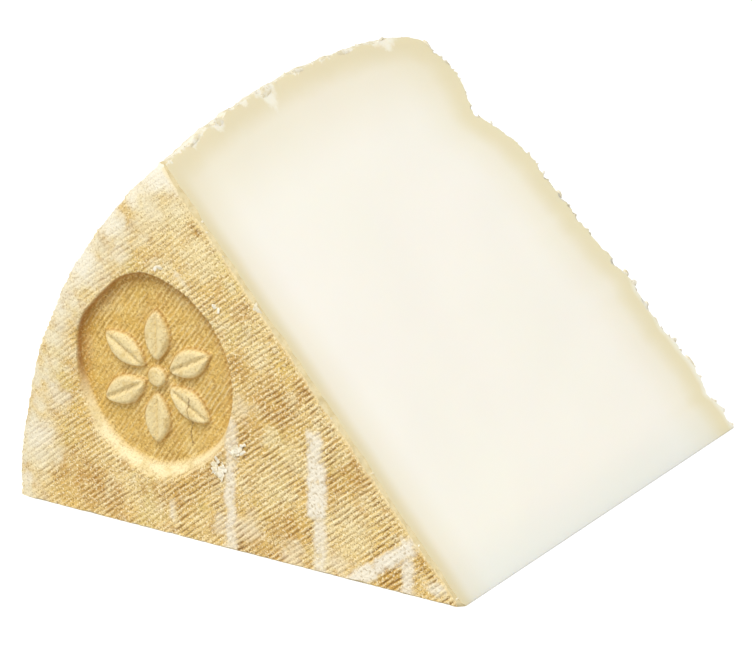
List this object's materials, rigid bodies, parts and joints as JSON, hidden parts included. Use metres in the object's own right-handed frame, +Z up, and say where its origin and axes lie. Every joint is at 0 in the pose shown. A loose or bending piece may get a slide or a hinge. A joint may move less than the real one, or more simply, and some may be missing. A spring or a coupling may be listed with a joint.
{
  "type": "ossau-iraty cheese wedge",
  "caption": "Wedge of a pressed sheep's milk cheese wheel with a ribbed straw-coloured rind and a sunken flower medallion, lying on its cut face.",
  "frame": {"origin": "middle of the bounding box's floor, on the lower cut face", "axes": "+Z up from the lower cut face, +X towards the thin apex edge, +Y along the wheel's axis from the medallion face to the base face"},
  "size_m": [0.1192, 0.1184, 0.0899],
  "materials": {
    "cheese": "matte"
  },
  "bodies": {
    "root": {"cheese_wedge": "cheese"}
  },
  "joints": []
}
